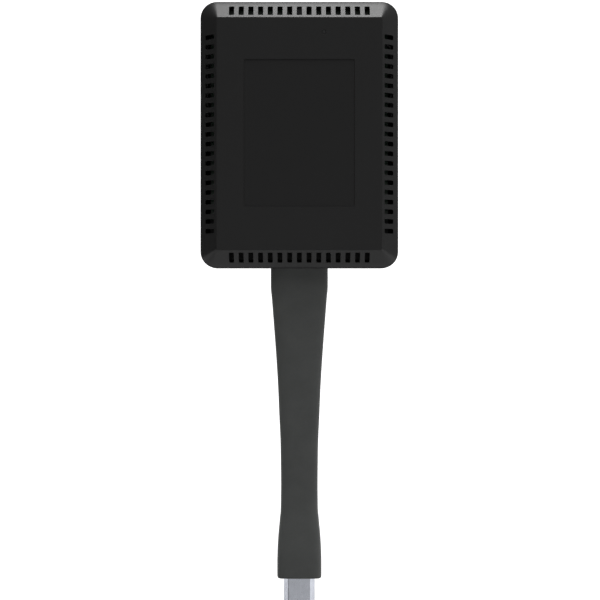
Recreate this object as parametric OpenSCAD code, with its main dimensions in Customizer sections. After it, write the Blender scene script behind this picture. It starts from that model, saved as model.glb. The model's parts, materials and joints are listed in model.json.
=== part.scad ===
// Streaming player: a flat vented housing on a springy strap that ends in an HDMI plug.
// Millimetres. The origin is the centre of the flat back, +Z points out of the front face,
// +Y points away from the strap and +X completes the right-handed frame.

/* [Housing] */
// Width of the housing
body_w = 89; // [86:0.5:94]
// Length of the housing
body_l = 119.9; // [116:0.1:124]
// Thickness of the housing
body_t = 17.6; // [17:0.2:19]
// Radius of the housing's corners in plan
corner_r = 7.4; // [7:0.1:7.8]
// Width of the sloping front bevel along the sides, in plan
bevel_w = 7.5; // [7.2:0.1:7.8]
// Width of the sloping front bevel at the two ends, in plan
bevel_end_w = 8; // [7.6:0.1:8.2]
// Height of the sloping front bevel
bevel_h = 6.8; // [6.6:0.1:7]
// Size of the chamfer round the back
back_chamfer = 3.2; // [2.4:0.1:3.4]
// Thickness of the covers' walls
wall = 2; // [1.8:0.1:2.2]
// Height at which the two covers meet
parting_z = 10.2; // [10:0.1:10.4]

/* [Vents] */
// Vents along each short side
vents_short = 15; // [11:2:15]
// Vents along each long side
vents_long = 21; // [15:2:21]
// Distance from one vent to the next
vent_pitch = 4.34; // [4:0.02:4.4]
// Width of one vent
vent_w = 2.1; // [1.4:0.1:2.4]
// Length of one vent in a side, in plan
vent_l = 4; // [3:0.1:4.3]

/* [Front inlay] */
// Width of the inlay sheet on the front face
inlay_w = 49.5; // [40:0.5:60]
// Length of the inlay sheet on the front face
inlay_l = 65.7; // [50:0.1:80]
// Place of the inlay's centre along Y
inlay_y = 0.35; // [-4:0.05:4]
// Depth of the inlay's recess
inlay_depth = 0.6; // [0.3:0.1:1]
// Thickness of the inlay sheet
inlay_t = 0.25; // [0.1:0.05:0.3]

/* [Strap] */
// Thickness of the strap
strap_t = 5.8; // [5.2:0.1:5.8]
// Length of the strap and its boot outside the housing
strap_l = 139.7; // [136:0.1:142]
// Height of the strap's middle above the back
strap_z = 7; // [6.9:0.05:7.1]
// Distance of the first flex point from the housing
flex_start = 20.3; // [18:0.1:22]
// Distance from one flex point to the next
flex_pitch = 36; // [34:0.5:37]
// Thickness of the boot round the plug
boot_t = 10.4; // [10:0.1:11]

/* [Connectors] */
// Width of the HDMI plug's shell
plug_w = 13.9; // [13.8:0.05:14]
// Height of the HDMI plug's shell
plug_h = 4.45; // [4.4:0.01:4.5]
// Length of the HDMI plug's shell outside the boot
plug_out = 12; // [11.8:0.1:12.5]

/* [Hidden] */
$fn = 48;

hair = 0.01;      // thinnest slab under a hull
gap = 0.1;        // clearance of a seated piece
hull_fn = 32;     // roundness under a hull

// Housing levels and outlines.
bevel_z = body_t - bevel_h;
bevel_slope = bevel_h / bevel_w;
bevel_stretch = bevel_end_w / bevel_w;
bevel_drop = wall * sqrt(1 + pow(bevel_slope, 2));
ceiling_z = body_t - wall;
ceiling_inset = (ceiling_z - bevel_z + bevel_drop) / bevel_slope;
cavity_side_z = bevel_z + bevel_slope * wall - bevel_drop;
floor_inset = back_chamfer + wall * sqrt(2) - wall;
inside_y = body_l / 2 - wall;
vent_inset = 2.4;
lip_h = 1;
lip_t = 0.9;

// The blank label in its recess on the back.
label_w = 46;
label_l = 24;
label_y = 30;
label_depth = 0.35;

// Screw posts stand at the same distance from both sides.
post_inset = 7.5;
post_x = body_w / 2 - post_inset;
post_y = body_l / 2 - post_inset;
post_join_z = 6.5;
case_screw_r = 1.3;
case_head_r = 2.7;

// The board and what stands on it.
board_z = 4;
board_t = 1.2;
board_top = board_z + board_t;
board_w = 80;
board_low_y = -38;
board_high_y = 56.9;
board_hole_x = 35;
board_holes_y = [-32, 32];
pin_places = [[-26, 32], [26, -16]];
heatsink_w = 60;
heatsink_l = 58;
heatsink_y = 8;
pad_t = 1;
chip_t = 1.4;
heatsink_z = board_top + chip_t + pad_t;
heatsink_base = 2;
fin_h = 4;
lead_r = 0.55;
radio_x = -22.5;

// Ports and controls on the +Y side.
port_z = board_top + 1.63;
port_mouth_y = body_l / 2 - 0.3;
usb_w = 8.94;
usb_h = 3.26;
port_room = 0.65;
button_x = 24;
button_z = 7.2;
button_w = 6.1;
button_h = 2.7;
button_room = 0.3;
switch_y = 52.2;
plunger_y = 53.1;
plunger_l = 2.4;
led_place = [11, 45.35];

// The strap's half widths: distance from the housing, half width.
strap_widths = [
    [-6, 12.8], [8, 12.8], [14, 12.3], [52, 9.6], [68, 8.9], [80, 8.4], [98, 8.2], [108, 8.3],
    [113, 8.7], [122, 9.5], [128, 9.8], [133, 9.9], [strap_l - 0.8, 9.9], [strap_l, 9.1]
];
strap_top_y = -body_l / 2;
boot_end_y = strap_top_y - strap_l;
flex_y = [for (i = [0:2]) strap_top_y - flex_start - i * flex_pitch];
knuckle_r = strap_t / 2;
knuckle_gap = 0.3;
flange_w = 32;
flange_l = 5;
flange_h = 6.3;
flange_y = strap_top_y + 5.2;
flange_z = 3.6;
clamp_x = 17;
clamp_y = -48;
clamp_z = 7.6;
wire_y = flange_y + flange_l / 2;
wire_count = 10;
wire_pitch = 1.5;
socket_y = -37;
plug_tip_y = boot_end_y - plug_out;
shell_in_boot = 3.4;
core_w = 14.8;
core_l = 14;
core_h = 6.4;
core_y = boot_end_y + shell_in_boot + core_l / 2;
shell_wall = 0.35;
window_x = 3.55;
window_y = plug_tip_y + 5.4;
slot_h = 1.9;
slot_z = strap_z - 0.8;
contact_t = 0.15;

// ---------- shared shapes ----------

module rounded_rect(w, l, r) {
    square([w - 2 * r, l], center = true);
    square([w, l - 2 * r], center = true);
    for (x = [-1, 1], y = [-1, 1])
        translate([x * (w / 2 - r), y * (l / 2 - r)]) circle(r);
}

// A slice of the housing's outline, inset by a distance, which may be longer at the ends.
module slice(inset, z, h, stretch = 1) {
    translate([0, 0, z]) linear_extrude(h)
        rounded_rect(body_w - 2 * inset, body_l - 2 * inset * stretch, max(corner_r - inset, 0.5));
}

// A block given by its centre in plan and its lowest level.
module block(x, y, z, w, l, h) {
    translate([x - w / 2, y - l / 2, z]) cube([w, l, h]);
}

// A flat-sided oval, w wide and h high, extruded along +Y from y to y + l.
module oval_along_y(x, y, z, w, h, l) {
    translate([x, y + l, z]) rotate([90, 0, 0]) linear_extrude(l) {
        square([w - h, h], center = true);
        for (s = [-1, 1]) translate([s * (w - h) / 2, 0]) circle(h / 2);
    }
}

// A side outline, drawn as (y, z), extruded across X about the middle.
module across_x(w) {
    rotate([90, 0, 90]) linear_extrude(w, center = true) children();
}

module at_case_posts() {
    for (x = [-1, 1], y = [-1, 1]) translate([x * post_x, y * post_y, 0]) children();
}

module at_board_holes() {
    for (x = [-1, 1], y = board_holes_y) translate([x * board_hole_x, y, 0]) children();
}

// A cross recess for a screwdriver, cut downwards from z = 0.
module cross_recess(size, depth) {
    for (a = [0, 90]) rotate([0, 0, a])
        translate([-size / 2, -size / 7, -depth]) cube([size, size / 3.5, depth + 1]);
}

// ---------- housing ----------

module front_outside() {
    hull() {
        slice(0, parting_z, bevel_z - parting_z, $fn = hull_fn);
        slice(bevel_w, body_t - hair, hair, bevel_stretch, $fn = hull_fn);
    }
}

module front_cavity() {
    hull() {
        slice(wall, parting_z - 1, cavity_side_z - parting_z + 1, $fn = hull_fn);
        slice(ceiling_inset, ceiling_z - hair, hair, bevel_stretch, $fn = hull_fn);
    }
}

module vents() {
    short_span = (vents_short - 1) / 2;
    long_span = (vents_long - 1) / 2;
    vent_middle = vent_inset + vent_l / 2;
    low_z = cavity_side_z - 0.02;
    for (s = [-1, 1]) {
        for (i = [-short_span:short_span])
            block(i * vent_pitch, s * (body_l / 2 - vent_middle * bevel_stretch), low_z,
                vent_w, vent_l * bevel_stretch, bevel_h + wall);
        for (i = [-long_span:long_span])
            block(s * (body_w / 2 - vent_middle), i * vent_pitch, low_z,
                vent_l, vent_w, bevel_h + wall);
    }
}

// The lip drops inside the rear cover's wall, and stops short of the strap's flange.
module lip() {
    difference() {
        union() {
            slice(wall + gap, parting_z - lip_h, lip_h + 0.5);
            slice(wall - 0.3, parting_z, 0.5);
        }
        slice(wall + gap + lip_t, parting_z - lip_h - 1, lip_h + 3);
        block(0, strap_top_y, parting_z - lip_h - 1, flange_w + 3, 20, lip_h + 1);
    }
}

module front_cover() {
    color("#242424") difference() {
        union() {
            difference() {
                front_outside();
                difference() {
                    front_cavity();
                    at_case_posts() cylinder(h = body_t, r = 3);
                }
                vents();
            }
            at_case_posts() translate([0, 0, post_join_z])
                cylinder(h = parting_z + 1 - post_join_z, r = 3);
            lip();
        }
        at_case_posts() translate([0, 0, post_join_z - 1])
            cylinder(h = 6.5, r = case_screw_r + 0.05);
        block(0, inlay_y, body_t - inlay_depth, inlay_w, inlay_l, 1);
        translate([led_place.x, led_place.y, ceiling_z - 1]) cylinder(h = wall + 2, r = 0.8);
    }
}

module rear_outside() {
    hull() {
        slice(0, back_chamfer, parting_z - back_chamfer, $fn = hull_fn);
        slice(back_chamfer, 0, hair, $fn = hull_fn);
    }
}

module rear_cavity() {
    hull() {
        slice(wall, floor_inset, parting_z - floor_inset + 1, $fn = hull_fn);
        slice(floor_inset, wall, hair, $fn = hull_fn);
    }
}

module rear_cover() {
    color("#242424") difference() {
        union() {
            difference() {
                rear_outside();
                rear_cavity();
            }
            at_case_posts() translate([0, 0, 0.8]) cylinder(h = post_join_z - 0.8, r = 4.2);
            at_board_holes() translate([0, 0, 1]) cylinder(h = board_z - 1, r = 2.6);
            for (s = [-1, 1]) translate([s * clamp_x, clamp_y, 1])
                cylinder(h = clamp_z - 1, r = 2.5);
            block(0, flange_y + 0.2, 1, flange_w, flange_l - 0.4, flange_z - 1);
        }
        at_case_posts() translate([0, 0, -1]) {
            cylinder(h = 3.6, r = case_head_r + 0.2);
            cylinder(h = 9, r = 1.6);
        }
        at_board_holes() translate([0, 0, 1.5]) cylinder(h = 9, r = 1.05);
        for (s = [-1, 1]) translate([s * clamp_x, clamp_y, 2]) cylinder(h = 9, r = 1.05);
        block(0, strap_top_y, strap_z - knuckle_r - 0.2, 2 * strap_widths[1][1] + 0.5, 5, 10);
        oval_along_y(0, inside_y - 1, port_z, usb_w + port_room, usb_h + port_room, 5);
        oval_along_y(button_x, inside_y - 1, button_z, button_w + button_room, button_h + button_room, 5);
        block(0, label_y, -1, label_w, label_l, 1 + label_depth);
    }
}

module front_inlay() {
    color("#202020") block(0, inlay_y, body_t - inlay_depth, inlay_w - gap, inlay_l - gap, inlay_t);
}

module rear_label() {
    color("#3a3a3a") block(0, label_y, 0.05, label_w - 2 * gap, label_l - 2 * gap, label_depth - 0.05);
}

module case_screws() {
    color("#5a5a5c") at_case_posts() difference() {
        union() {
            translate([0, 0, 0.9]) cylinder(h = 1.7, r = case_head_r);
            translate([0, 0, 2.5]) cylinder(h = 8, r = case_screw_r);
        }
        translate([0, 0, 0.9]) mirror([0, 0, 1]) cross_recess(2.8, 1);
    }
}

// ---------- board ----------

module main_board() {
    notch_w = 7.6;
    notch_l = 9.5;
    color("#1d3b2a") difference() {
        translate([-board_w / 2, board_low_y, board_z])
            cube([board_w, board_high_y - board_low_y, board_t]);
        for (s = [-1, 1])
            block(s * board_w / 2, board_high_y, board_z - 1, 2 * notch_w, 2 * notch_l, 4);
        at_board_holes() translate([0, 0, board_z - 1]) cylinder(h = 4, r = 1.6);
        for (p = pin_places) translate([p.x, p.y, board_z - 1]) cylinder(h = 4, r = 1.6);
    }
}

module board_screws() {
    color("#b4b6ba") at_board_holes() difference() {
        union() {
            translate([0, 0, board_top]) cylinder(h = 1.3, r = 2.4);
            translate([0, 0, 1.6]) cylinder(h = board_top - 1.5, r = 1);
        }
        translate([0, 0, board_top + 1.3]) cross_recess(2.4, 0.8);
    }
}

module processor() {
    color("#303033") {
        block(0, heatsink_y, board_top, 17, 17, 0.9);
        block(0, heatsink_y, board_top + 0.9, 13, 13, chip_t - 0.9);
    }
}

module memory_chips() {
    color("#222224") for (s = [-1, 1]) block(s * 17.5, heatsink_y, board_top, 9, 14, 1);
}

module flash_chip() {
    color("#222224") block(0, -12, board_top, 13, 11.5, 1);
}

module power_chip() {
    color("#222224") block(-7, 46.5, board_top, 6, 6, 0.9);
}

module thermal_pad() {
    color("#8fa6b8") block(0, heatsink_y, board_top + chip_t, 12, 12, pad_t);
}

module heatsink() {
    fins = 13;
    fin_pitch = (heatsink_w - 1.2) / (fins - 1);
    color("#9a9ca0") difference() {
        union() {
            block(0, heatsink_y, heatsink_z, heatsink_w, heatsink_l, heatsink_base);
            for (i = [0:fins - 1])
                block(-heatsink_w / 2 + 0.6 + i * fin_pitch, heatsink_y,
                    heatsink_z + heatsink_base - 0.2, 1.2, heatsink_l, fin_h + 0.2);
        }
        for (p = pin_places) translate([p.x, p.y, 0]) {
            cylinder(h = 20, r = 1.6);
            translate([0, 0, heatsink_z + heatsink_base]) cylinder(h = 20, r = 3.4);
        }
    }
}

module heatsink_pins() {
    color("#ece9e0") for (p = pin_places) translate([p.x, p.y, 0]) {
        translate([0, 0, heatsink_z + heatsink_base]) cylinder(h = 1.4, r = 2.8);
        translate([0, 0, 3]) cylinder(h = heatsink_z + heatsink_base - 2.9, r = 1.3);
        translate([0, 0, 2.6]) cylinder(h = board_z - 2.6, r1 = 1.3, r2 = 2);
    }
}

module radio_board() {
    color("#1f4a78") block(radio_x, 46, board_top, 19, 13, 0.8);
}

module radio_shield() {
    color("#c4c6c8") block(radio_x + 1, 46, board_top + 0.8, 11, 11, 1.6);
}

// A flexible aerial stuck to the inside of a long wall: side is -1 or 1.
module antenna(side) {
    color("#3b2f1a") block(side * (body_w / 2 - wall - 0.15), -6, 4.4, 0.3, 30, 4.2);
}

// One round coaxial lead: a straight run along Y, a bend and a straight run along X.
module lead(x, y0, y1, x_end, z) {
    bend = 2.5;
    side = sign(x_end - x);
    translate([x, y0, z]) rotate([-90, 0, 0]) cylinder(h = y1 - bend - y0, r = lead_r, $fn = 24);
    translate([x + side * bend, y1 - bend, z]) rotate([0, 0, side > 0 ? 90 : 0])
        rotate_extrude(angle = 90) translate([bend, 0]) circle(lead_r, $fn = 24);
    translate([x + side * bend, y1, z]) rotate([0, side * 90, 0])
        cylinder(h = abs(x_end - x) - bend, r = lead_r, $fn = 24);
}

module antenna_leads() {
    x = body_w / 2 - wall - 0.3 - lead_r;
    z = board_top + 0.8 + lead_r;
    color("#707276") {
        lead(-x, 6, 44, radio_x - 7, z);
        lead(x, 6, 41, radio_x + 8, z);
    }
}

module crystal() {
    color("#c9cacc") block(14, -12, board_top, 3.2, 2.5, 0.8);
}

module inductors() {
    color("#4a4a4e") for (i = [0:2]) block(18 + i * 5, 46.5, board_top, 4, 4, 2);
}

module capacitors() {
    color("#a98a60") {
        for (i = [0:5]) block(-14 + i * 5.6, -26, board_top, 3.2, 1.6, 1.2);
        for (s = [-1, 1], i = [0:3]) block(s * 36.5, -20 + i * 9, board_top, 1.6, 3.2, 1.2);
    }
}

// ---------- ports and controls ----------

module usb_c_shell() {
    depth = 7.4;
    metal = 0.3;
    color("#3a3a3c") difference() {
        oval_along_y(0, port_mouth_y - depth, port_z, usb_w, usb_h, depth);
        oval_along_y(0, port_mouth_y - depth + 0.5, port_z, usb_w - 2 * metal, usb_h - 2 * metal, depth);
    }
}

module usb_c_tongue() {
    color("#1a1a1a") {
        block(0, port_mouth_y - 6.4, port_z - 0.35, 6.69, 1, 0.7);
        block(0, port_mouth_y - 3.4, port_z - 0.35, 6.69, 5.4, 0.7);
    }
}

module usb_c_contacts() {
    color("#d9b25a") for (s = [-1, 1], i = [-5.5:5.5])
        block(i * 0.5, port_mouth_y - 3, port_z + s * 0.385 - 0.035, 0.28, 4, 0.07);
}

module switch_body() {
    color("#2b2b2d") difference() {
        block(button_x, switch_y, board_top, 4.6, 3.4, 4);
        translate([button_x, switch_y + gap, button_z]) rotate([-90, 0, 0])
            cylinder(h = 5, r = 0.9);
    }
}

module switch_plunger() {
    color("#d8d4c8") translate([button_x, plunger_y, button_z]) rotate([-90, 0, 0])
        cylinder(h = plunger_l, r = 0.8);
}

module reset_button() {
    flange = 0.8;
    stem_y = plunger_y + plunger_l;
    color("#2c2c2c") {
        oval_along_y(button_x, inside_y - gap, button_z, button_w, button_h, wall + 0.5);
        oval_along_y(button_x, inside_y - gap - flange, button_z, 7.6, 3.2, flange);
        translate([button_x, stem_y, button_z]) rotate([-90, 0, 0])
            cylinder(h = inside_y - flange - stem_y, r = 1);
    }
}

module status_led() {
    color("#e8e4c8") block(led_place.x, led_place.y, board_top, 1.6, 0.8, 0.7);
}

module light_pipe() {
    color("#4c4c50") translate([led_place.x, led_place.y, 0]) {
        translate([0, 0, board_top + 1]) cylinder(h = body_t - board_top - 1, r = 0.72);
        translate([0, 0, ceiling_z - 1.1]) cylinder(h = 1, r = 1.6);
    }
}

// ---------- cable entry ----------

module cable_socket() {
    color("#e6e2d6") difference() {
        block(0, socket_y + 2.8, board_top, 19, 5.6, 3.6);
        block(0, socket_y + 4, board_top + 2.9, 16.5, 1.8, 1);
    }
}

module cable_wires() {
    color("#b06a3a") for (i = [0:wire_count - 1])
        translate([(i - (wire_count - 1) / 2) * wire_pitch, wire_y, strap_z])
            rotate([-90, 0, 0]) cylinder(h = socket_y - wire_y, r = 0.45, $fn = 24);
}

module strap_clamp() {
    color("#b8babd") difference() {
        union() {
            block(0, clamp_y, clamp_z, 2 * clamp_x + 6, 5, 1.4);
            block(0, clamp_y, strap_z + 0.5, wire_count * wire_pitch + 2, 2, 1);
        }
        for (s = [-1, 1]) translate([s * clamp_x, clamp_y, 0]) cylinder(h = 20, r = 1.25);
    }
}

module clamp_screws() {
    color("#5a5a5c") for (s = [-1, 1]) translate([s * clamp_x, clamp_y, 0]) difference() {
        union() {
            translate([0, 0, clamp_z + 1.4]) cylinder(h = 1.2, r = 2.2);
            translate([0, 0, 3]) cylinder(h = clamp_z - 1.5, r = 1);
        }
        translate([0, 0, clamp_z + 2.6]) cross_recess(2.2, 0.8);
    }
}

// ---------- strap ----------

// The strap's whole outline in plan, as one closed outline.
module strap_plan() {
    polygon(concat(
        [for (p = strap_widths) [p[1], strap_top_y - p[0]]],
        [for (i = [len(strap_widths) - 1:-1:0])
            [-strap_widths[i][1], strap_top_y - strap_widths[i][0]]]
    ));
}

// A side outline cut to the strap's plan.
module strap_part() {
    intersection() {
        across_x(40) children();
        linear_extrude(30) strap_plan();
    }
}

// The side outline of a length of strap from y_top down to a round end at y_low,
// with a hollow end at y_top when it hangs on another length.
module strap_side(y_top, y_low, hollow) {
    difference() {
        union() {
            translate([y_low, strap_z - knuckle_r]) square([y_top - y_low, strap_t]);
            translate([y_low, strap_z]) circle(knuckle_r);
        }
        if (hollow) translate([y_top, strap_z]) circle(knuckle_r + knuckle_gap);
    }
}

module strap_root() {
    color("#3c3e3d") {
        strap_part() strap_side(-inside_y + 1, flex_y[0], false);
        block(0, flange_y, flange_z, flange_w, flange_l, flange_h);
    }
}

module strap_link_1() {
    color("#3c3e3d") strap_part() strap_side(flex_y[0], flex_y[1], true);
}

module strap_link_2() {
    color("#3c3e3d") strap_part() strap_side(flex_y[1], flex_y[2], true);
}

// ---------- plug ----------

// The HDMI shell's outline, inset by a distance: narrow at the front side, wide at the back.
module plug_outline(inset) {
    w = plug_w / 2 - inset;
    h = plug_h / 2 - inset;
    crown = plug_w / 2 - 1.95 - inset * 0.6;
    knee = 0.55 - inset * 0.4;
    polygon([
        [-crown, h], [crown, h], [w, knee], [w, 0.5 - h],
        [w - 0.5, -h], [0.5 - w, -h], [-w, 0.5 - h], [-w, knee]
    ]);
}

// The HDMI shell's outline extruded along -Y from y_top to y_low.
module plug_length(inset, y_top, y_low) {
    translate([0, y_top, strap_z]) rotate([90, 0, 0])
        linear_extrude(y_top - y_low) plug_outline(inset);
}

module plug_boot() {
    neck_y = boot_end_y + 38;
    full_y = boot_end_y + 12;
    half = boot_t / 2;
    color("#3c3e3d") difference() {
        strap_part() difference() {
            translate([0, strap_z]) polygon([
                [flex_y[2], -knuckle_r], [neck_y, -knuckle_r], [full_y, -half],
                [boot_end_y + 0.8, -half], [boot_end_y, -half + 0.8],
                [boot_end_y, half - 0.8], [boot_end_y + 0.8, half], [full_y, half],
                [neck_y, knuckle_r], [flex_y[2], knuckle_r]
            ]);
            translate([flex_y[2], strap_z]) circle(knuckle_r + knuckle_gap);
        }
        block(0, core_y, strap_z - core_h / 2, core_w, core_l, core_h);
        plug_length(0, boot_end_y + shell_in_boot + hair, boot_end_y - 1);
    }
}

module plug_core() {
    color("#cfcabd") block(0, core_y, strap_z - core_h / 2, core_w, core_l, core_h);
}

module plug_shell() {
    color("#9a9ca6") difference() {
        plug_length(0, boot_end_y + shell_in_boot, plug_tip_y);
        plug_length(shell_wall, boot_end_y + shell_in_boot + 1, plug_tip_y - 1);
        for (s = [-1, 1]) block(s * window_x, window_y, strap_z - 6, 2.2, 2, 5);
    }
}

module plug_insulator() {
    color("#1a1a1a") difference() {
        plug_length(shell_wall, boot_end_y + shell_in_boot, plug_tip_y + 0.6);
        block(0, plug_tip_y + 4, slot_z, 11.4, 9, slot_h);
        for (s = [-1, 1]) block(s * window_x, window_y, strap_z - 6.4, 2.2, 2, 5);
    }
}

// Ten contacts on the front side of the slot and nine on the back side.
module plug_contacts() {
    color("#d9b25a") {
        for (i = [-4.5:4.5])
            block(i, plug_tip_y + 4.6, slot_z + slot_h - contact_t, 0.45, 7, contact_t);
        for (i = [-4:4]) block(i, plug_tip_y + 4.6, slot_z, 0.45, 7, contact_t);
    }
}

front_cover();
rear_cover();
front_inlay();
rear_label();
case_screws();
main_board();
board_screws();
processor();
memory_chips();
flash_chip();
power_chip();
thermal_pad();
heatsink();
heatsink_pins();
radio_board();
radio_shield();
antenna(-1);  // antenna_left
antenna(1);  // antenna_right
antenna_leads();
crystal();
inductors();
capacitors();
usb_c_shell();
usb_c_tongue();
usb_c_contacts();
switch_body();
switch_plunger();
reset_button();
status_led();
light_pipe();
cable_socket();
cable_wires();
strap_clamp();
clamp_screws();
strap_root();
strap_link_1();
strap_link_2();
plug_boot();
plug_core();
plug_shell();
plug_insulator();
plug_contacts();
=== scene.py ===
"""Looks of the streaming player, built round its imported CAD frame.

Everything is in metres in the CAD's own frame: +Z points out of the front face, +Y away from the strap.
"""

import json
import math

import bmesh
import bpy
from mathutils import Matrix, Vector
from mathutils.geometry import tessellate_polygon


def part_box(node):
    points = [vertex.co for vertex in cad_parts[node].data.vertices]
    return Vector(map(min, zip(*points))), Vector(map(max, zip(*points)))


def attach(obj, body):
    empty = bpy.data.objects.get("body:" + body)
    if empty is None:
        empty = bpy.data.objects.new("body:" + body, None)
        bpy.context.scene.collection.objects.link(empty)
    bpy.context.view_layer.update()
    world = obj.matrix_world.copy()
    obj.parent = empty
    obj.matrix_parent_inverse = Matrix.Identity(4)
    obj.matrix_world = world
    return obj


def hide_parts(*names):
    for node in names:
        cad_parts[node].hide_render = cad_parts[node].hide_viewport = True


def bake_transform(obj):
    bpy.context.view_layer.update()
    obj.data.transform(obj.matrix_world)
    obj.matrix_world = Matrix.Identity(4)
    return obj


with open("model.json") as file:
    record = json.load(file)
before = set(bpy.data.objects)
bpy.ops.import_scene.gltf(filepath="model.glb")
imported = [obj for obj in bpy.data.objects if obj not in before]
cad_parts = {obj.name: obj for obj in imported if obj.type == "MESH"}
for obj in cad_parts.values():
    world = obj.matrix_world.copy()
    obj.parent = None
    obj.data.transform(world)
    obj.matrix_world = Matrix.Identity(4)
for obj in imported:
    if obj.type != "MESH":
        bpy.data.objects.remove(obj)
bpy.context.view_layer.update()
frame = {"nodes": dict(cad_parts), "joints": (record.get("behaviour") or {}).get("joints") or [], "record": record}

MM = 0.001
TINY = 1e-7

# ---------- sizes ----------

# Housing, from the frame and from the sizes that the CAD source gives.
HALF_W, HALF_L, FACE_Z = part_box("front_cover")[1]
SEAM_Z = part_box("rear_cover")[1].z
WALL = 2 * MM
BEVEL_W = 7.5 * MM
BEVEL_END_W = 8 * MM
BEVEL_H = 6.8 * MM
RIM_Z = FACE_Z - BEVEL_H
SLOPE = BEVEL_H / BEVEL_W
END_STRETCH = BEVEL_END_W / BEVEL_W
CEILING_Z = FACE_Z - WALL
CORNER_R = 7.4 * MM
FACE_CORNER_R = 0.6 * MM
BACK_CHAMFER = 3.2 * MM
SEAM_CUT = 0.2 * MM
RIM_W = 2.2 * MM
RIM_DROP = 0.35 * MM
RIM_STEPS = 10
FACE_EDGE_R = 0.35 * MM
BACK_EDGE_R = 1.2 * MM
CORNER_STEPS = 12
FACE_MARGIN = 1.2 * MM
COVER_GAP = 0.1 * MM

# Openings and recesses in the covers.
PIPE_HOLE_R = 0.8 * MM
PIPE_HOLE_EDGE = 0.12 * MM
INLAY_RECESS_R = 0.7 * MM
LABEL_RECESS_R = 1 * MM
LABEL_RECESS_DEPTH = 0.35 * MM
LABEL_GAP = 0.1 * MM
USB_MOUTH_W = 9.6 * MM
USB_MOUTH_H = 3.9 * MM
BUTTON_MOUTH_W = 6.4 * MM
BUTTON_MOUTH_H = 3 * MM
NOTCH_SHARE = 0.36

# Screw posts of the rear cover: how far their middles stand in from the sides, the radii of
# the post and of its two holes, and their levels above the back.
POST_INSET = 7.5 * MM
POST_R = 4.2 * MM
POST_LOW_Z = 1 * MM
POST_TOP_Z = 6.5 * MM
HEAD_HOLE_R = 2.9 * MM
HEAD_HOLE_TOP_Z = 2.6 * MM
SHAFT_HOLE_R = 1.6 * MM
SHAFT_HOLE_TOP_Z = 7.5 * MM

# Reset button.
STEM_ACROSS = 2 * MM
FLANGE_W = 7.6 * MM
FLANGE_H = 3.2 * MM
FLANGE_T = 0.8 * MM
CAP_W = 6.1 * MM
CAP_H = 2.7 * MM

# Vents.
VENTS_SHORT = 15
VENTS_LONG = 21
VENT_PITCH = 4.34 * MM
VENT_W = 2.1 * MM
VENT_L = 4 * MM
VENT_INSET = 2.4 * MM
VENT_CORNER_R = 0.4 * MM
VENT_EDGE_SHARE = 0.45

# Strap and plug.
STRAP_TOP_Y = -HALF_L
STRAP_T = 5.8 * MM
STRAP_POWER = 4.5
BOOT_T = 10.4 * MM
BOOT_POWER = 6
BOOT_END_R = 0.9 * MM
BEAD_H = 0.1 * MM
BEAD_W = 0.25 * MM
RING_STEP = 1.2 * MM
SECTION_POINTS = 96
SHELL_WALL = 0.35 * MM
SHELL_CORNER_R = 0.5 * MM
SHELL_IN_BOOT = 3.4 * MM
SHELL_CUT_W = 1.95 * MM
SHELL_KNEE_Z = 0.55 * MM
SHELL_LEAD_IN = 0.5 * MM
WINDOW_X = 3.55 * MM
WINDOW_FROM_TIP = 5.4 * MM
WINDOW_W = 2.2 * MM
WINDOW_L = 2 * MM
WINDOW_CORNER_R = 0.3 * MM
WINDOW_CUT = 6 * MM
NOTCH_GAP = 0.15 * MM
STRAP_IN_HOUSING = 2.6 * MM

pivots = {j["name"]: Vector(j["pos_m"]) for j in frame["joints"] if "pos_m" in j}
STRAP_Z = pivots["strap_flex_1"].z
FLEX_Y = [pivots["strap_flex_%d" % i].y for i in (1, 2, 3)]
BOOT_END_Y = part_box("plug_boot")[0].y
shell_low, shell_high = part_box("plug_shell")

# Half width of the strap against the distance from the housing, in millimetres.
STRAP_HALF_WIDTHS = (
    (-4, 12.8), (8, 12.8), (14, 12.3), (52, 9.6), (68, 8.9), (80, 8.4), (98, 8.2),
    (108, 8.3), (113, 8.7), (122, 9.5), (128, 9.8), (133, 9.9), (140, 9.9),
)
# Half thickness of the boot against the distance from the boot's end, in millimetres.
BOOT_HALF_THICKNESSES = ((0, 5.2), (9, 5.15), (16, 4.75), (34, 3.15), (41, 2.92), (46, 2.9))


# ---------- camera ----------

# The width of the view at the level of the aim, in metres; the lens and the sensor are in millimetres.
FIELD = 270 * MM
LENS = 100
SENSOR = 36
AIM = Vector((0.3 * MM, -74.25 * MM, RIM_Z))


def make_camera():
    """Straight above the front face, with the housing in the upper half of the picture."""
    data = bpy.data.cameras.new("camera")
    data.lens = LENS
    data.sensor_width = SENSOR
    camera = bpy.data.objects.new("camera", data)
    camera.location = AIM + Vector((0, 0, FIELD * LENS / SENSOR))
    bpy.context.scene.collection.objects.link(camera)
    bpy.context.scene.camera = camera


make_camera()


# ---------- mesh helpers ----------


def corner_arc(before, corner, after, radius, steps):
    """Points of the arc that rounds one corner of a path in a plane."""
    a = (before - corner).normalized()
    b = (after - corner).normalized()
    opening = a.angle(b)
    start = corner + a * radius / math.tan(opening / 2)
    centre = corner + (a + b).normalized() * radius / math.sin(opening / 2)
    turn = math.pi - opening
    if a.x * b.y - a.y * b.x > 0:
        turn = -turn
    spoke = start - centre
    return [centre + Matrix.Rotation(turn * i / steps, 2) @ spoke for i in range(steps + 1)]


def rounded_path(points, radii, steps=5, closed=False):
    """A path in a plane with the corners rounded; a radius of 0 keeps a corner sharp."""
    points = [Vector(p) for p in points]
    made = []
    for i, p in enumerate(points):
        is_end = not closed and i in (0, len(points) - 1)
        if radii[i] == 0 or is_end:
            made.append(p)
        else:
            made += corner_arc(points[i - 1], p, points[(i + 1) % len(points)], radii[i], steps)
    return made


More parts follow.
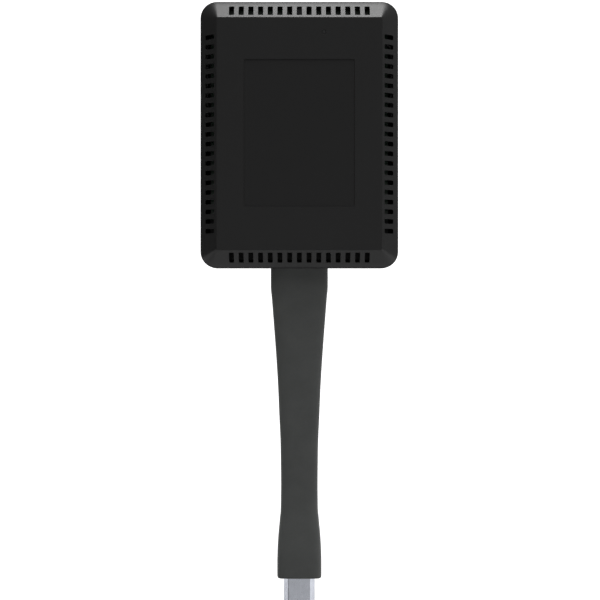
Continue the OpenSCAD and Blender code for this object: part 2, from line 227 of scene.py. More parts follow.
def smooth_value(table, x):
    """A smooth curve through a table of (x, value) points that never overshoots them."""
    if x <= table[0][0]:
        return table[0][1]
    if x >= table[-1][0]:
        return table[-1][1]
    i = next(k for k in range(len(table) - 1) if x <= table[k + 1][0])

    def rise(k):
        return (table[k + 1][1] - table[k][1]) / (table[k + 1][0] - table[k][0])

    def slope(k):
        if k == 0 or k == len(table) - 1 or rise(k - 1) * rise(k) <= 0:
            return 0.0
        return 2 * rise(k - 1) * rise(k) / (rise(k - 1) + rise(k))

    (x0, v0), (x1, v1) = table[i], table[i + 1]
    span = x1 - x0
    t = (x - x0) / span
    start = (1 + 2 * t) * (1 - t) ** 2 * v0 + t * (1 - t) ** 2 * span * slope(i)
    end = t * t * (3 - 2 * t) * v1 + t * t * (t - 1) * span * slope(i + 1)
    return start + end


def add_loop(bm, points):
    return [bm.verts.new(p) for p in points]


def add_rows(bm, path, outline_at):
    """A closed row of vertices for each (inset, level) of a path."""
    return [add_loop(bm, [flat_point(q, p.y) for q in outline_at(p.x)]) for p in path]


def add_strip(bm, rows, skip=(), skip_row=None):
    """Quads between neighbouring closed rows of vertices, leaving out some columns of one row."""
    for r in range(len(rows) - 1):
        count = len(rows[r])
        for c in range(count):
            if r == skip_row and c in skip:
                continue
            d = (c + 1) % count
            bm.faces.new((rows[r][c], rows[r][d], rows[r + 1][d], rows[r + 1][c]))


def add_cap(bm, *loops):
    """Fills a flat region; the loops after the first one are holes in it."""
    verts = [v for loop in loops for v in loop]
    for triangle in tessellate_polygon([[v.co for v in loop] for loop in loops]):
        bm.faces.new([verts[i] for i in triangle])


def object_from(bm, name):
    bmesh.ops.recalc_face_normals(bm, faces=bm.faces)
    mesh = bpy.data.meshes.new(name)
    bm.to_mesh(mesh)
    bm.free()
    piece = bpy.data.objects.new(name, mesh)
    bpy.context.scene.collection.objects.link(piece)
    return piece


def apply_modifiers(piece):
    depsgraph = bpy.context.evaluated_depsgraph_get()
    mesh = bpy.data.meshes.new_from_object(piece.evaluated_get(depsgraph))
    piece.modifiers.clear()
    piece.data = mesh


def join_solid(piece, other, operation):
    """Adds another solid to a piece or cuts it away, and removes the other solid."""
    modifier = piece.modifiers.new("join", "BOOLEAN")
    modifier.operation = operation
    modifier.object = other
    modifier.solver = "EXACT"
    apply_modifiers(piece)
    bpy.data.objects.remove(other)


def round_edges(piece, width, segments, by_weight=False):
    modifier = piece.modifiers.new("edges", "BEVEL")
    modifier.width = width
    modifier.segments = segments
    modifier.limit_method = "WEIGHT" if by_weight else "ANGLE"
    modifier.angle_limit = math.radians(35)
    apply_modifiers(piece)


def shade(piece, sharp_degrees=38):
    """Smooth shading that keeps flat faces flat."""
    piece.data.polygons.foreach_set("use_smooth", [True] * len(piece.data.polygons))
    piece.data.set_sharp_from_angle(angle=math.radians(sharp_degrees))
    modifier = piece.modifiers.new("normals", "WEIGHTED_NORMAL")
    modifier.keep_sharp = True
    modifier.weight = 80


def tube(name, rings):
    """A closed solid through closed rings of points, capped at both ends."""
    bm = bmesh.new()
    rows = [add_loop(bm, ring) for ring in rings]
    add_strip(bm, rows)
    add_cap(bm, rows[0])
    add_cap(bm, rows[-1])
    return object_from(bm, name)


def prism(name, outline, to_point, start, end):
    """A closed solid that carries an outline in a plane from start to end."""
    return tube(name, [[to_point(p, level) for p in outline] for level in (start, end)])


def stadium(width, height, steps=10):
    """A flat-sided oval about the origin."""
    r = height / 2
    reach = width / 2 - r
    made = []
    for side, first in ((1, -90), (-1, 90)):
        for i in range(steps + 1):
            a = math.radians(first + 180 * i / steps)
            made.append(Vector((side * reach + r * math.cos(a), r * math.sin(a))))
    return made


def circle(x, y, radius, steps=32):
    angles = [2 * math.pi * i / steps for i in range(steps)]
    return [Vector((x + radius * math.cos(a), y + radius * math.sin(a))) for a in angles]


def rectangle(x, y, width, length, radius, steps=5):
    a, b = width / 2, length / 2
    corners = [(x + a, y - b), (x + a, y + b), (x - a, y + b), (x - a, y - b)]
    return rounded_path(corners, [radius] * 4, steps, closed=True)


def place_of(node):
    """The middle and the size of a node's box."""
    low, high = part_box(node)
    return (low + high) / 2, high - low


def flat_point(p, z):
    return Vector((p.x, p.y, z))


def facing_y(x, z):
    """Turns an outline's points into points of a plane across Y, about (x, z)."""
    return lambda p, y: Vector((x + p.x, y, z + p.y))


# ---------- housing ----------


def quarter_turn(turns, a, b):
    c, s = ((1, 0), (0, 1), (-1, 0), (0, -1))[turns]
    return Vector((a * c - b * s, a * s + b * c))


def housing_outline(inset, radius, stations=((), ()), stretch=1.0):
    """The housing's outline in plan, inset by a distance, with extra points along its sides.

    The inset at the two ends is the distance times the stretch.
    """
    half = (HALF_W - inset, HALF_L - inset * stretch)
    made = []
    for k in range(4):
        out = half[k % 2]
        reach = half[(k + 1) % 2] - radius
        made += [quarter_turn(k, out, s) for s in stations[k % 2]]
        for i in range(CORNER_STEPS + 1):
            a = math.pi / 2 * i / CORNER_STEPS
            made.append(quarter_turn(k, out - radius + radius * math.cos(a), reach + radius * math.sin(a)))
    return made


def vent_edges(count):
    """Where a row of vents starts and ends each vent, along its side."""
    middles = [(i - (count - 1) / 2) * VENT_PITCH for i in range(count)]
    return [m + s * VENT_W / 2 for m in middles for s in (-1, 1)]


def vent_columns():
    columns = []
    first = 0
    for k in range(4):
        count = (VENTS_LONG, VENTS_SHORT)[k % 2]
        columns += [first + 2 * i for i in range(count)]
        first += 2 * count + CORNER_STEPS + 1
    return columns


def front_corner_radius(inset):
    share = min(max(inset / BEVEL_W, 0), 1)
    return CORNER_R + (FACE_CORNER_R - CORNER_R) * share


def vent_walls(bm, outer, inner, row_out, row_in, columns):
    """The four walls of each vent, with weights that round its corners and its edge."""
    weight = bm.edges.layers.float.new("bevel_weight_edge")
    for c in columns:
        d = c + 1
        top = (outer[row_out][c], outer[row_out][d], outer[row_out + 1][d], outer[row_out + 1][c])
        low = (inner[row_in + 1][c], inner[row_in + 1][d], inner[row_in][d], inner[row_in][c])
        for i in range(4):
            j = (i + 1) % 4
            bm.faces.new((top[i], top[j], low[j], low[i]))
            bm.edges.get((top[i], low[i]))[weight] = 1
            bm.edges.get((top[i], top[j]))[weight] = VENT_EDGE_SHARE


def rim_curve():
    """The soft lower edge of the bevel, from the side wall to just short of the flat bevel."""
    corner = Vector((0, RIM_Z))
    start = corner - Vector((0, RIM_DROP))
    end = corner + RIM_W * Vector((1, SLOPE))
    made = []
    for i in range(RIM_STEPS):
        t = i / RIM_STEPS
        made.append(start * (1 - t) ** 2 + corner * 2 * t * (1 - t) + end * t * t)
    return made


def make_front_shell():
    """The bevelled front cover with its vents, its inlay recess and the light pipe's hole."""
    stations = (vent_edges(VENTS_LONG), vent_edges(VENTS_SHORT))
    columns = set(vent_columns())
    drop = WALL * math.hypot(1, SLOPE)
    vent_ends = (VENT_INSET, VENT_INSET + VENT_L)
    seam_edge = [Vector((SEAM_CUT, SEAM_Z)), Vector((0, SEAM_Z + SEAM_CUT))]
    face_edge = rounded_path(
        [(RIM_W, RIM_Z + SLOPE * RIM_W), (BEVEL_W, FACE_Z), (BEVEL_W + FACE_MARGIN, FACE_Z)],
        [0, FACE_EDGE_R, 0], steps=6)
    outer_path = seam_edge + rim_curve() + face_edge
    for inset in vent_ends:
        place = next(i for i, p in enumerate(outer_path) if p.x > inset)
        outer_path.insert(place, Vector((inset, RIM_Z + SLOPE * inset)))
    row_out = next(i for i, p in enumerate(outer_path) if abs(p.x - VENT_INSET) < TINY)

    ceiling_inset = (CEILING_Z - RIM_Z + drop) / SLOPE
    low_z = SEAM_Z + COVER_GAP
    inner_path = [
        Vector((ceiling_inset + FACE_MARGIN, CEILING_Z)),
        Vector((ceiling_inset, CEILING_Z)),
        Vector((vent_ends[1], RIM_Z + SLOPE * vent_ends[1] - drop)),
        Vector((vent_ends[0], low_z)),
        Vector((WALL, SEAM_Z)),
    ]
    row_in = 2

    bm = bmesh.new()

    def outline_at(inset):
        return housing_outline(inset, front_corner_radius(inset), stations, END_STRETCH)

    outer = add_rows(bm, outer_path, outline_at)
    inner = add_rows(bm, inner_path, outline_at)
    add_strip(bm, outer, columns, row_out)
    add_strip(bm, inner, columns, row_in)
    add_strip(bm, [inner[-1], outer[0]])
    vent_walls(bm, outer, inner, row_out, row_in, columns)

    middle, size = place_of("front_inlay")
    recess_floor_z = middle.z - size.z / 2 - 0.02 * MM
    # Margin round the inlay and level of each loop, from the face down.
    recess_levels = ((0.05 * MM, FACE_Z), (0.03 * MM, FACE_Z - 0.06 * MM), (0.02 * MM, recess_floor_z))
    recess = [
        add_loop(bm, [flat_point(p, z) for p in rectangle(
            middle.x, middle.y, size.x + 2 * margin, size.y + 2 * margin, INLAY_RECESS_R)])
        for margin, z in recess_levels
    ]
    pipe = place_of("light_pipe")[0]
    hole_levels = (
        (PIPE_HOLE_R + PIPE_HOLE_EDGE, FACE_Z), (PIPE_HOLE_R, FACE_Z - PIPE_HOLE_EDGE),
        (PIPE_HOLE_R, CEILING_Z),
    )
    hole = [
        add_loop(bm, [flat_point(p, z) for p in circle(pipe.x, pipe.y, r)])
        for r, z in hole_levels
    ]
    add_strip(bm, recess)
    add_strip(bm, hole)
    add_cap(bm, outer[-1], recess[0], hole[0])
    add_cap(bm, recess[-1])
    add_cap(bm, inner[0], hole[-1])
    piece = object_from(bm, "front_shell")
    round_edges(piece, VENT_CORNER_R, 3, by_weight=True)
    return piece


def make_rear_shell():
    """The chamfered rear cover with its screw posts, ports, label recess and strap opening."""
    outer_path = rounded_path(
        [(SEAM_CUT, SEAM_Z), (0, SEAM_Z - SEAM_CUT), (0, BACK_CHAMFER), (BACK_CHAMFER, 0),
         (2 * BACK_CHAMFER, 0)],
        [0, 0, BACK_EDGE_R, BACK_EDGE_R, 0], steps=6)
    floor_inset = BACK_CHAMFER + WALL * (math.sqrt(2) - 1)
    inner_path = [
        Vector((2 * BACK_CHAMFER, WALL)), Vector((floor_inset, WALL)), Vector((WALL, floor_inset)),
        Vector((WALL, SEAM_Z)),
    ]
    bm = bmesh.new()

    def outline_at(inset):
        return housing_outline(inset, CORNER_R - inset)

    outer = add_rows(bm, outer_path, outline_at)
    inner = add_rows(bm, inner_path, outline_at)
    add_strip(bm, outer)
    add_strip(bm, inner)
    add_strip(bm, [inner[-1], outer[0]])
    add_cap(bm, outer[-1])
    add_cap(bm, inner[0])
    piece = object_from(bm, "rear_shell")

    post_x = HALF_W - POST_INSET
    post_y = HALF_L - POST_INSET
    cut_low = -MM
    for x in (-post_x, post_x):
        for y in (-post_y, post_y):
            post = prism("post", circle(x, y, POST_R, 48), flat_point, POST_LOW_Z, POST_TOP_Z)
            join_solid(piece, post, "UNION")
            head = prism("head", circle(x, y, HEAD_HOLE_R, 48), flat_point, cut_low, HEAD_HOLE_TOP_Z)
            join_solid(piece, head, "DIFFERENCE")
            shaft = prism("shaft", circle(x, y, SHAFT_HOLE_R), flat_point, cut_low, SHAFT_HOLE_TOP_Z)
            join_solid(piece, shaft, "DIFFERENCE")

    middle, size = place_of("rear_label")
    outline = rectangle(
        middle.x, middle.y, size.x + 2 * LABEL_GAP, size.y + 2 * LABEL_GAP, LABEL_RECESS_R)
    recess = prism("recess", outline, flat_point, cut_low, LABEL_RECESS_DEPTH)
    join_solid(piece, recess, "DIFFERENCE")

    usb = place_of("usb_c_shell")[0]
    wall_in = HALF_L - WALL - MM
    wall_out = HALF_L + MM
    outline = stadium(USB_MOUTH_W, USB_MOUTH_H, 16)
    mouth = prism("mouth", outline, facing_y(usb.x, usb.z), wall_in, wall_out)
    join_solid(piece, mouth, "DIFFERENCE")
    button = place_of("reset_button")[0]
    outline = stadium(BUTTON_MOUTH_W, BUTTON_MOUTH_H, 16)
    slot = prism("slot", outline, facing_y(button.x, button.z), wall_in, wall_out)
    join_solid(piece, slot, "DIFFERENCE")

    round_hole = strap_outline(
        STRAP_HALF_WIDTHS[0][1] * MM + NOTCH_GAP, STRAP_T / 2 + NOTCH_GAP, STRAP_POWER)
    # The opening is round up to a share of the strap's thickness, and straight from there to the seam.
    lower = [p for p in round_hole if p.y < STRAP_T * NOTCH_SHARE]
    lower.sort(key=lambda p: math.atan2(p.x, p.y) % (2 * math.pi))
    top_z = SEAM_Z + MM - STRAP_Z
    notch = lower + [Vector((lower[-1].x, top_z)), Vector((lower[0].x, top_z))]
    opening = prism("opening", notch, facing_y(0, STRAP_Z), -wall_out, -wall_in)
    join_solid(piece, opening, "DIFFERENCE")
    return piece


def make_sheet(name, node, corner_r, outward):
    """A thin sheet in its recess; its outer side, up for 1 and down for -1, has a soft edge."""
    middle, size = place_of(node)
    inner_z = middle.z - outward * size.z / 2
    # Inset and rise of each ring, from the inner side outwards.
    levels = ((0, 0), (0, size.z - 0.04 * MM), (0.02 * MM, size.z - 0.01 * MM), (0.05 * MM, size.z))
    rings = [
        [flat_point(p, inner_z + outward * rise) for p in rectangle(
            middle.x, middle.y, size.x - 2 * inset, size.y - 2 * inset, corner_r - inset)]
        for inset, rise in levels
    ]
    return tube(name, rings)


def make_button():
    """The reset button: a domed cap, its flange and its stem."""
    low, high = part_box("reset_button")
    middle = (low + high) / 2
    at = facing_y(middle.x, middle.z)
    inside_y = HALF_L - WALL - COVER_GAP
    flange_y = inside_y - FLANGE_T
    # The round stem still needs a flat side, however short.
    least_flat = 0.001 * MM
    profile = [
        (low.y, STEM_ACROSS, STEM_ACROSS), (flange_y, STEM_ACROSS, STEM_ACROSS),
        (flange_y, FLANGE_W, FLANGE_H), (inside_y, FLANGE_W, FLANGE_H), (inside_y, CAP_W, CAP_H),
    ]
    # The dome: each ring's depth below the cap's end and how much smaller it is, in millimetres.
    for depth, less in ((0.35, 0), (0.16, 0.2), (0.04, 0.7), (0, 1.7)):
        profile.append((high.y - depth * MM, CAP_W - less * MM, CAP_H - less * MM))
    rings = []
    for y, width, height in profile:
        rings.append([at(p, y) for p in stadium(width + least_flat, height, 12)])
    return tube("reset_cap", rings)


# ---------- strap and plug ----------


def strap_outline(half_w, half_t, power):
    """A pillow-like oval: nearly flat on top and below, and rounder towards its sides."""
    points = []
    for i in range(SECTION_POINTS):
        a = 2 * math.pi * i / SECTION_POINTS
        c, s = math.cos(a), math.sin(a)
        x = math.copysign(abs(c) ** (2 / power), c) * half_w
        z = math.copysign(abs(s) ** (2 / power), s) * half_t
        points.append(Vector((x, z)))
    return points


def strap_section(y, half_w, half_t, power):
    """The strap's outline across Y, with a mould line down each side."""
    points = strap_outline(half_w, half_t, power)
    points[0] = Vector((half_w + BEAD_H, 0))
    points[SECTION_POINTS // 2] = Vector((-half_w - BEAD_H, 0))
    made = []
    for i, p in enumerate(points):
        side = {0: 1, SECTION_POINTS // 2: -1}.get(i)
        if side is None:
            made.append(p)
        else:
            made += [Vector((side * half_w, -side * BEAD_W)), p, Vector((side * half_w, side * BEAD_W))]
    return [Vector((p.x, y, STRAP_Z + p.y)) for p in made]


def strap_ring(y, shrink=0.0):
    """The strap's or the boot's section at a place along Y."""
    half_w = smooth_value(STRAP_HALF_WIDTHS, (STRAP_TOP_Y - y) / MM) * MM
    half_t = smooth_value(BOOT_HALF_THICKNESSES, (y - BOOT_END_Y) / MM) * MM
    share = (half_t - STRAP_T / 2) / (BOOT_T / 2 - STRAP_T / 2)
    power = STRAP_POWER + (BOOT_POWER - STRAP_POWER) * share
    return strap_section(y, half_w - shrink, half_t - shrink, power)


def stretch(start, end):
    """Evenly spaced places from start to end."""
    count = max(1, round(abs(end - start) / RING_STEP))
    return [start + (end - start) * i / count for i in range(count + 1)]


def make_strap():
    """Three lengths of strap that meet in the middle of each CAD link; the last one is also the boot."""
    seam_1 = (FLEX_Y[0] + FLEX_Y[1]) / 2
    seam_2 = (FLEX_Y[1] + FLEX_Y[2]) / 2
    inside_y = STRAP_TOP_Y + STRAP_IN_HOUSING
    upper = tube("strap_upper", [strap_ring(y) for y in stretch(inside_y, seam_1)])
    middle = tube("strap_middle", [strap_ring(y) for y in stretch(seam_1, seam_2)])
    rings = [strap_ring(y) for y in stretch(seam_2, BOOT_END_Y + BOOT_END_R)]
    end_steps = 6
    for i in range(1, end_steps + 1):
        a = math.pi / 2 * i / end_steps
        rings.append(strap_ring(BOOT_END_Y + BOOT_END_R * (1 - math.sin(a)), BOOT_END_R * (1 - math.cos(a))))
    lower = tube("strap_lower_and_boot", rings)
    pocket_end = BOOT_END_Y + SHELL_IN_BOOT
    pocket = prism("pocket", plug_outline(0), facing_y(0, STRAP_Z), pocket_end, BOOT_END_Y - MM)
    join_solid(lower, pocket, "DIFFERENCE")
    return upper, middle, lower


def plug_outline(inset):
    """The plug shell's outline about its middle: cut back at its upper corners, with soft corners."""
    w = (shell_high.x - shell_low.x) / 2 - inset
    h = (shell_high.z - shell_low.z) / 2 - inset
    # The factors keep the wall about as thick round the cut corners as along the flat sides.
    crown = (shell_high.x - shell_low.x) / 2 - SHELL_CUT_W - inset * 0.6
    knee = SHELL_KNEE_Z - inset * 0.4
    r = SHELL_CORNER_R - inset * 0.7
    corners = [(-crown, h), (-w, knee), (-w, -h), (w, -h), (w, knee), (crown, h)]
    return rounded_path(corners, [1.2 * r, 0.8 * r, r, r, 0.8 * r, 1.2 * r], 5, closed=True)


def make_plug_shell():
    """The folded metal shell: hollow, with a turned-in front edge and two spring windows in its back."""
    at = facing_y(0, STRAP_Z)
    back_y = BOOT_END_Y + SHELL_IN_BOOT
    tip_y = shell_low.y
    # Inset and place of each loop: along the outside, over the tip and back along the inside.
    levels = (
        (0, back_y), (0, tip_y + SHELL_LEAD_IN), (0.06 * MM, tip_y + 0.16 * MM), (0.12 * MM, tip_y),
        (SHELL_WALL - 0.06 * MM, tip_y), (SHELL_WALL, tip_y + 0.1 * MM), (SHELL_WALL, back_y),
    )
    bm = bmesh.new()
    rows = [add_loop(bm, [at(p, y) for p in plug_outline(inset)]) for inset, y in levels]
    add_strip(bm, rows + [rows[0]])
    shell = object_from(bm, "hdmi_shell")
    for x in (-WINDOW_X, WINDOW_X):
        outline = rectangle(x, tip_y + WINDOW_FROM_TIP, WINDOW_W, WINDOW_L, WINDOW_CORNER_R)
        window = prism("window", outline, flat_point, STRAP_Z - WINDOW_CUT, STRAP_Z - MM)
        join_solid(shell, window, "DIFFERENCE")
    return shell


# ---------- materials ----------


class Finish:
    """One procedural material: a Principled shader whose detail comes from the frame's coordinates."""

    def __init__(self, name, color, roughness, metallic=0.0, specular=0.5):
        self.material = bpy.data.materials.new(name)
        self.material.use_nodes = True
        self.nodes = self.material.node_tree.nodes
        self.links = self.material.node_tree.links
        self.shader = self.nodes["Principled BSDF"]
        self.place = self.nodes.new("ShaderNodeTexCoord").outputs["Object"]
        self.color = color
        self.set("Base Color", (*color, 1))
        self.set("Roughness", roughness)
        self.set("Metallic", metallic)
        self.set("Specular IOR Level", specular)
        self.normal = None

    def set(self, socket, value):
        self.shader.inputs[socket].default_value = value
        return self

    def noise(self, size, detail=2.0, stretch=(1, 1, 1)):
        """Noise with features of a size in metres, longer along the axes whose stretch is larger."""
        mapping = self.nodes.new("ShaderNodeMapping")
        mapping.inputs["Scale"].default_value = [1 / (size * s) for s in stretch]
        texture = self.nodes.new("ShaderNodeTexNoise")
        texture.inputs["Scale"].default_value = 1
        texture.inputs["Detail"].default_value = detail
        self.links.new(self.place, mapping.inputs["Vector"])
        self.links.new(mapping.outputs["Vector"], texture.inputs["Vector"])
        return texture.outputs["Fac"]

    def spread(self, source, low, high):
        """Maps the middle of a noise's range to low..high."""
        node = self.nodes.new("ShaderNodeMapRange")
        node.inputs["From Min"].default_value = 0.3
        node.inputs["From Max"].default_value = 0.7
        node.inputs["To Min"].default_value = low
        node.inputs["To Max"].default_value = high
        self.links.new(source, node.inputs["Value"])
        return node.outputs["Result"]

    def vary_roughness(self, source, low, high):
        self.links.new(self.spread(source, low, high), self.shader.inputs["Roughness"])
        return self

    def vary_color(self, source, other, low=0.0, high=1.0):
        """Mixes the base colour with another one where the source is strong."""
        mix = self.nodes.new("ShaderNodeMix")
        mix.data_type = "RGBA"
        mix.inputs["A"].default_value = (*self.color, 1)
        mix.inputs["B"].default_value = (*other, 1)
        self.links.new(self.spread(source, low, high), mix.inputs["Factor"])
        self.links.new(mix.outputs["Result"], self.shader.inputs["Base Color"])
        return self

    def bump(self, source, height, strength=1.0):
        """Relief of a height in metres, on top of any relief before it."""
        node = self.nodes.new("ShaderNodeBump")
        node.inputs["Strength"].default_value = strength
        node.inputs["Distance"].default_value = height
        self.links.new(source, node.inputs["Height"])
        if self.normal is not None:
            self.links.new(self.normal, node.inputs["Normal"])
        self.normal = node.outputs["Normal"]
        self.links.new(self.normal, self.shader.inputs["Normal"])
        return self


def scaled(color, factor):
    return tuple(c * factor for c in color)


def moulded(name, color, roughness=0.5, specular=0.5, grain=0.2 * MM, relief=0.006 * MM):
    """Moulded plastic: an even, very fine grain and a slight unevenness of gloss."""
    finish = Finish(name, color, roughness, specular=specular)
    finish.vary_color(finish.noise(18 * MM, 3), scaled(color, 1.08))
    finish.vary_roughness(finish.noise(0.5 * MM, 3), roughness - 0.02, roughness + 0.02)
    finish.bump(finish.noise(grain, 2), relief)
    return finish.material


def metal(name, color, roughness, along=None, grain=0.06 * MM, relief=0.0015 * MM):
    """Metal with drawn or rolled streaks along an axis, or a blasted grain without one."""
    finish = Finish(name, color, roughness, metallic=1.0)
    stretch = [1, 1, 1]
    if along is not None:
        stretch[along] = 60
    streaks = finish.noise(grain, 3, stretch)
    finish.vary_roughness(streaks, roughness - 0.06, roughness + 0.08)
    finish.vary_color(finish.noise(3 * MM, 2), scaled(color, 0.9))
    finish.bump(streaks, relief)
    return finish.material


def rubber(name, color):
    """Soft-touch elastomer: dull, with a fine grain and a faint bloom."""
    finish = Finish(name, color, 0.62, specular=0.4)
    finish.set("Sheen Weight", 0.12)
    finish.set("Sheen Roughness", 0.5)
    finish.vary_color(finish.noise(9 * MM, 4), scaled(color, 1.15))
    finish.vary_roughness(finish.noise(1.2 * MM, 3), 0.56, 0.68)
    finish.bump(finish.noise(0.16 * MM, 2), 0.007 * MM)
    finish.bump(finish.noise(3 * MM, 1), 0.01 * MM)
    return finish.material


def circuit(name, color):
    """Solder mask over copper traces: lighter lines under a glossy coat."""
    finish = Finish(name, color, 0.35)
    finish.set("Coat Weight", 0.3)
    cells = finish.nodes.new("ShaderNodeTexVoronoi")
    cells.feature = "DISTANCE_TO_EDGE"
    cells.inputs["Scale"].default_value = 1 / (2.2 * MM)
    finish.links.new(finish.place, cells.inputs["Vector"])
    finish.vary_color(cells.outputs["Distance"], scaled(color, 1.9), 1.0, 0.0)
    finish.bump(cells.outputs["Distance"], 0.02 * MM)
    return finish.material


def clear_tinted(name, color):
    """Smoked acrylic."""
    finish = Finish(name, color, 0.12)
    finish.set("Coat Weight", 0.4)
    finish.vary_color(finish.noise(0.8 * MM, 2), scaled(color, 1.3))
    finish.bump(finish.noise(0.3 * MM, 1), 0.001 * MM)
    return finish.material


finishes = {
    "housing_plastic": moulded("housing_plastic", (0.0128, 0.0128, 0.013), 0.35, specular=0.42),
    "inlay_film": moulded("inlay_film", (0.0108, 0.0108, 0.011), 0.34, specular=0.4,
                          grain=0.12 * MM, relief=0.003 * MM),
    "label_film": moulded("label_film", (0.04, 0.04, 0.042), 0.55),
    "black_screws": metal("black_screws", (0.1, 0.1, 0.105), 0.4),
    "zinc_screws": metal("zinc_screws", (0.55, 0.56, 0.58), 0.32),
    "circuit_board": circuit("circuit_board", (0.012, 0.05, 0.025)),
    "radio_circuit": circuit("radio_circuit", (0.01, 0.024, 0.05)),
    "chip_package": moulded("chip_package", (0.018, 0.018, 0.019), 0.55, grain=0.1 * MM),
    "gap_pad": moulded("gap_pad", (0.3, 0.38, 0.46), 0.75, grain=0.3 * MM),
    "heatsink_metal": metal("heatsink_metal", (0.6, 0.61, 0.63), 0.4, along=1),
    "pin_nylon": moulded("pin_nylon", (0.75, 0.73, 0.68), 0.5),
    "tinned_steel": metal("tinned_steel", (0.6, 0.61, 0.62), 0.3, along=0),
    "black_nickel": metal("black_nickel", (0.08, 0.08, 0.085), 0.35, along=0),
    "aerial_film": moulded("aerial_film", (0.12, 0.07, 0.03), 0.35),
    "lead_jacket": moulded("lead_jacket", (0.15, 0.15, 0.16), 0.45),
    "ferrite": moulded("ferrite", (0.07, 0.07, 0.075), 0.65, grain=0.15 * MM, relief=0.01 * MM),
    "ceramic": moulded("ceramic", (0.36, 0.24, 0.12), 0.45),
    "black_insulator": moulded("black_insulator", (0.012, 0.012, 0.013), 0.5),
    "gold_contacts": metal("gold_contacts", (0.78, 0.55, 0.24), 0.25, along=1),
    "switch_nylon": moulded("switch_nylon", (0.62, 0.58, 0.5), 0.5),
    "led_package": moulded("led_package", (0.7, 0.68, 0.5), 0.2),
    "smoked_acrylic": clear_tinted("smoked_acrylic", (0.006, 0.006, 0.007)),
    "socket_nylon": moulded("socket_nylon", (0.72, 0.69, 0.62), 0.5),
    "wire_insulation": moulded("wire_insulation", (0.35, 0.12, 0.04), 0.5),
    "strap_rubber": rubber("strap_rubber", (0.072, 0.0755, 0.0735)),
    "core_plastic": moulded("core_plastic", (0.6, 0.57, 0.5), 0.5),
    "nickel_shell": metal("nickel_shell", (0.8, 0.83, 0.91), 0.3, along=1, grain=0.05 * MM),
}


def dress(piece, slot_name):
    """Gives a new piece the material of the record's slot that it comes from."""
    piece.data.materials.clear()
    piece.data.materials.append(finishes[slot_name])


def soften_blocks():
    """The small blocks that stay as the CAD made them get rounded edges."""
    for name, width in BLOCK_EDGES.items():
        node = frame["nodes"][name]
        weld = node.modifiers.new("weld", "WELD")
        weld.merge_threshold = 0.001 * MM
        edges = node.modifiers.new("edges", "BEVEL")
        edges.width = width
        edges.segments = 2
        edges.limit_method = "ANGLE"
        edges.angle_limit = math.radians(35)


def dress_cad_nodes():
    """Every CAD node takes the finish of its slot in the record."""
    for part in frame["record"]["subparts"]:
        node = frame["nodes"][part["node"]]
        if not node.material_slots:
            node.data.materials.append(None)
        for material_slot in node.material_slots:
            material_slot.material = finishes[part["material_slot"]]


# ---------- assembly ----------

# Rounding of the edges of the inner parts that are simple blocks.
BLOCK_EDGES = {
    "processor": 0.12 * MM,
    "memory_chips": 0.1 * MM,
    "flash_chip": 0.1 * MM,
    "power_chip": 0.08 * MM,
    "thermal_pad": 0.15 * MM,
    "radio_board": 0.06 * MM,
    "radio_shield": 0.2 * MM,
    "inductors": 0.3 * MM,
    "capacitors": 0.08 * MM,
    "crystal": 0.15 * MM,
    "antenna_left": 0.05 * MM,
    "antenna_right": 0.05 * MM,
    "plug_core": 0.5 * MM,
    "cable_socket": 0.15 * MM,
    "usb_c_tongue": 0.1 * MM,
    "status_led": 0.06 * MM,
}


def assemble():
    dress_cad_nodes()
    soften_blocks()
    rigid = (
        (make_front_shell(), "housing_plastic", "housing", "front_cover"),
        (make_rear_shell(), "housing_plastic", "housing", "rear_cover"),
        (make_sheet("inlay_sheet", "front_inlay", 0.6 * MM, 1), "inlay_film", "housing", "front_inlay"),
        (make_sheet("label_sheet", "rear_label", 0.9 * MM, -1), "label_film", "housing", "rear_label"),
        (make_button(), "housing_plastic", "reset_button", "reset_button"),
        (make_plug_shell(), "nickel_shell", "plug", "plug_shell"),
    )
    for piece, slot_name, body, node in rigid:
        shade(piece)
        dress(piece, slot_name)
        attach(piece, body)
        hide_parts(node)

    upper, middle, lower = make_strap()
    lengths = (
        (upper, "housing", "strap_link_1", FLEX_Y[0], ("strap_root",)),
        (middle, "strap_link_1", "strap_link_2", FLEX_Y[1], ("strap_link_1",)),
        (lower, "strap_link_2", "plug", FLEX_Y[2], ("strap_link_2", "plug_boot")),
    )
    for piece, body_a, body_b, flex_y, nodes in lengths:
        shade(piece, 50)
        dress(piece, "strap_rubber")
        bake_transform(piece)
        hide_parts(*nodes)


assemble()


# ---------- stage ----------

FLOOR_Z = -130 * MM
FLOOR_GLOW = 0.95
BACKDROP_R = 5.0
BACKDROP_H = 5.0
WORLD_GLOW = 0.1


def stage_piece(piece, name, glow):
    """A white, faintly glowing surface that the object's gloss doesn't mirror."""
    piece.name = name
    finish = Finish(name, (0.8, 0.8, 0.8), 0.9, specular=0.0)
    finish.set("Emission Color", (1, 1, 1, 1))
    finish.set("Emission Strength", glow)
    piece.data.materials.append(finish.material)
    piece.visible_glossy = False


def make_floor():
    """A plain white floor, low enough for the strap to hang at its lowest."""
    bpy.ops.mesh.primitive_circle_add(
        vertices=64, radius=BACKDROP_R, fill_type="NGON", location=(0, 0, FLOOR_Z))
    stage_piece(bpy.context.object, "floor", FLOOR_GLOW)


def make_backdrop():
    """A round white wall behind everything, seen only by the camera."""
    bpy.ops.mesh.primitive_cylinder_add(
        vertices=64, radius=BACKDROP_R, depth=BACKDROP_H, end_fill_type="NOTHING",
        location=(0, 0, FLOOR_Z + BACKDROP_H / 2))
    wall = bpy.context.object
    stage_piece(wall, "backdrop", 1.0)
    wall.visible_diffuse = False
    wall.visible_shadow = False


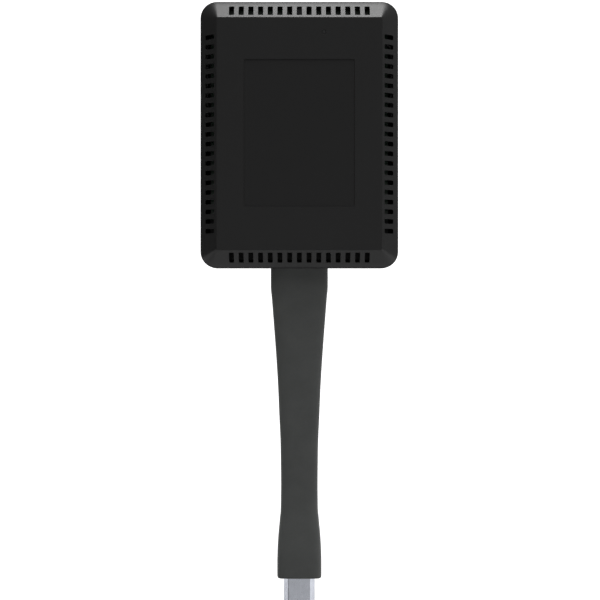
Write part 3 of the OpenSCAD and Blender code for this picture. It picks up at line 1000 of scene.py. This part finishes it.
def make_softbox(name, place, aim, size, radiance):
    """A rectangular light that faces a point."""
    width, height = size
    data = bpy.data.lights.new(name, "AREA")
    data.shape = "RECTANGLE"
    data.size = width
    data.size_y = height
    data.energy = radiance * math.pi * width * height
    light = bpy.data.objects.new(name, data)
    light.location = place
    light.rotation_euler = (Vector(aim) - Vector(place)).to_track_quat("-Z", "Y").to_euler()
    bpy.context.scene.collection.objects.link(light)


def make_world():
    world = bpy.data.worlds.new("world")
    world.use_nodes = True
    background = world.node_tree.nodes["Background"]
    background.inputs["Color"].default_value = (1, 1, 1, 1)
    background.inputs["Strength"].default_value = WORLD_GLOW
    bpy.context.scene.world = world


def make_stage():
    make_floor()
    make_backdrop()
    make_world()
    # The bevels mirror the horizon, so each one takes its tone from the light on its own side.
    make_softbox("far_strip", place=(0.05, 0.75, 0.06), aim=(0, 0, 0.01), size=(0.3, 0.27), radiance=6.7)
    make_softbox("right_wall", place=(0.6, 0, 0.04), aim=(0, 0, 0.04), size=(1.5, 0.35), radiance=0.25)
    make_softbox("near_wall", place=(0, -0.9, 0.1), aim=(0, 0, 0.1), size=(1.8, 0.36), radiance=0.85)
    # Broad light from behind and from the right models the strap.
    make_softbox("back_wall", place=(0.2, 2.5, 0.85), aim=(0, -0.05, 0), size=(1.8, 1.5), radiance=6.1)
    make_softbox("key_right", place=(0.75, -0.5, 0.75), aim=(0, -0.2, 0), size=(0.9, 0.9), radiance=0.95)
    # The face mirrors the first of these, the plug's shell the second and, at its sides, the two cards.
    make_softbox("overhead_face", place=(0, 0.17, 1.3), aim=(0, 0.17, 0), size=(0.9, 0.7), radiance=0.22)
    make_softbox("overhead_plug", place=(0, -0.46, 1.3), aim=(0, -0.2, 0), size=(0.9, 0.52), radiance=0.39)
    make_softbox("plug_card_left", place=(-0.3, -0.22, 0), aim=(0, -0.22, 0), size=(0.12, 0.2), radiance=1)
    make_softbox(
        "plug_card_right", place=(0.3, -0.22, 0), aim=(0, -0.22, 0), size=(0.12, 0.2), radiance=0.75)
    view = bpy.context.scene.view_settings
    view.view_transform = "Standard"
    view.look = "None"


make_stage()
